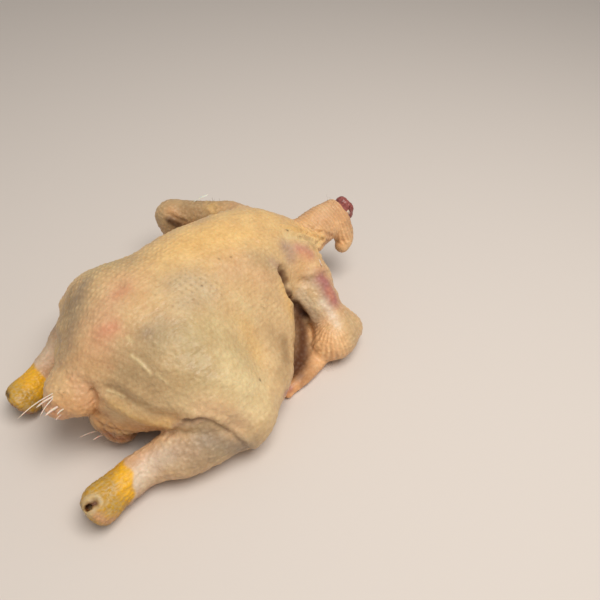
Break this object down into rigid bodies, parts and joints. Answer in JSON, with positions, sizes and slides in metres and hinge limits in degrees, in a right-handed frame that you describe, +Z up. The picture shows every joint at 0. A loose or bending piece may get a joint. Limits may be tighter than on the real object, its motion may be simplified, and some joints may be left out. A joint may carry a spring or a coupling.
{
  "type": "whole raw chicken",
  "caption": "Whole raw plucked chicken lying on its breast, back up, with folded wings, legs cut at the hocks, a tail with feather stubs and loose neck skin around the cut neck.",
  "frame": {"origin": "middle of the bounding box at the height of the surface that the bird lies on", "axes": "+Y from the tail towards the neck, +X to the bird's right side, +Z up out of its back"},
  "size_m": [0.2266, 0.3194, 0.1057],
  "materials": {
    "skin": "moist satin",
    "flesh": "wet"
  },
  "bodies": {
    "root": {"chicken": "skin", "neck_flesh": "flesh"}
  },
  "joints": []
}
